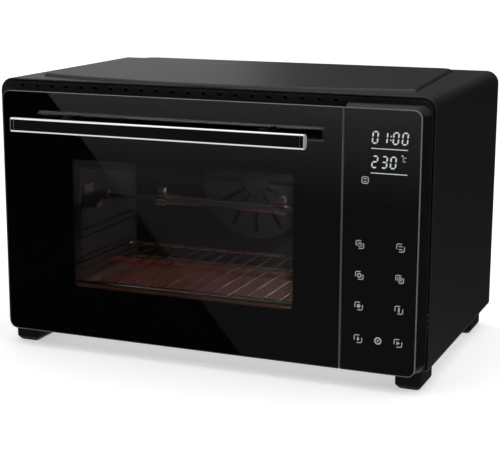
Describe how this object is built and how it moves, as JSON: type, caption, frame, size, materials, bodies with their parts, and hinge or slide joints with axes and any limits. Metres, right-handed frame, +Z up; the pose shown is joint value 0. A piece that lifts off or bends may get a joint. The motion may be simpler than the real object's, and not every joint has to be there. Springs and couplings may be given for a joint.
{
  "type": "toaster oven",
  "caption": "Counter-top toaster oven: black steel casing on short feet, full-glass drop-down door with a bar handle, touch control panel, rack, rotisserie and convection fan.",
  "frame": {"origin": "on the surface that the feet stand on, below the middle of the overall box from the handle's front to the rear bulge", "axes": "+Z up, +X to the right as the user faces the oven, -Y towards the user (the door and handle face -Y)"},
  "size_m": [0.52, 0.36, 0.3205],
  "materials": {
    "casing_paint": "satin black powder coat",
    "black_plastic": "semi-gloss moulded black plastic",
    "black_glass": "polished black tempered glass, see-through at the window",
    "clear_glass": "clear heat-resistant glass",
    "chrome": "polished",
    "steel": "plain zinc-plated steel",
    "cavity_enamel": "dark grey baked enamel",
    "aluminised_sheet": "matt aluminised sheet",
    "heating_element": "oxidised sheath tube",
    "rubber": "matt",
    "circuit_board": "green laminate",
    "display": "smoked display window",
    "ceramic": "unglazed ceramic",
    "dark_plastic": "moulded heat-resistant plastic"
  },
  "bodies": {
    "oven": {"casing_wrapper": "casing_paint", "bottom_plate": "aluminised_sheet", "rear_cover": "casing_paint", "front_frame": "black_plastic", "cavity_liner": "cavity_enamel", "heat_shield": "aluminised_sheet", "upper_element_front": "heating_element", "upper_element_rear": "heating_element", "lower_element_front": "heating_element", "lower_element_rear": "heating_element", "crumb_tray": "aluminised_sheet", "hinge_bracket_left": "steel", "hinge_bracket_right": "steel", "control_panel_glass": "black_glass", "control_panel_housing": "black_plastic", "display_module": "display", "touch_board": "circuit_board", "power_board": "circuit_board", "cord_gland": "rubber", "fan_guard": "cavity_enamel", "fan_motor": "steel", "fan_motor_bracket": "aluminised_sheet", "spit_support": "steel", "rotisserie_motor": "steel", "lamp_cover": "clear_glass", "lamp_holder": "ceramic", "lamp_bulb": "clear_glass", "temperature_probe": "steel", "thermal_cutout": "dark_plastic", "foot_front_left": "rubber", "foot_screw_front_left": "steel", "foot_front_right": "rubber", "foot_screw_front_right": "steel", "foot_rear_left": "rubber", "foot_screw_rear_left": "steel", "foot_rear_right": "rubber", "foot_screw_rear_right": "steel"},
    "door": {"door_outer_glass": "black_glass", "door_frame": "casing_paint", "door_inner_glass": "clear_glass", "hinge_pin_left": "steel", "hinge_pin_right": "steel", "handle_bar": "chrome", "handle_end_cap_left": "steel", "handle_end_cap_right": "steel", "handle_post_left": "black_plastic", "handle_screw_left": "steel", "handle_post_right": "black_plastic", "handle_screw_right": "steel"},
    "rack": {"wire_rack": "chrome"},
    "spit": {"spit_rod": "chrome", "drive_coupling": "steel", "spit_fork_left": "chrome", "fork_screw_left": "chrome", "spit_fork_right": "chrome", "fork_screw_right": "chrome"},
    "fan": {"convection_fan": "aluminised_sheet", "cooling_fan": "aluminised_sheet", "fan_shaft": "steel"}
  },
  "joints": [
    {"name": "door_hinge", "type": "hinge", "parent": "oven", "child": "door", "pos_m": [-0.042, -0.1369, 0.0285], "axis": [1, 0, 0], "range_deg": [0, 85], "stiffness_Nm_per_rad": 1.6, "springref_deg": -17.19},
    {"name": "rack_slide", "type": "slide", "parent": "oven", "child": "rack", "axis": [0, -1, 0], "range_m": [0, 0.1]},
    {"name": "spit_spin", "type": "hinge", "parent": "oven", "child": "spit", "pos_m": [-0.038, 0.0059, 0.16], "axis": [1, 0, 0], "continuous": true},
    {"name": "fan_spin", "type": "hinge", "parent": "oven", "child": "fan", "pos_m": [-0.038, 0.134, 0.168], "axis": [0, 1, 0], "continuous": true}
  ],
  "couplings": [
    {"joint": "rack_slide", "follows": "door_hinge", "m_per_rad": 0.067}
  ]
}
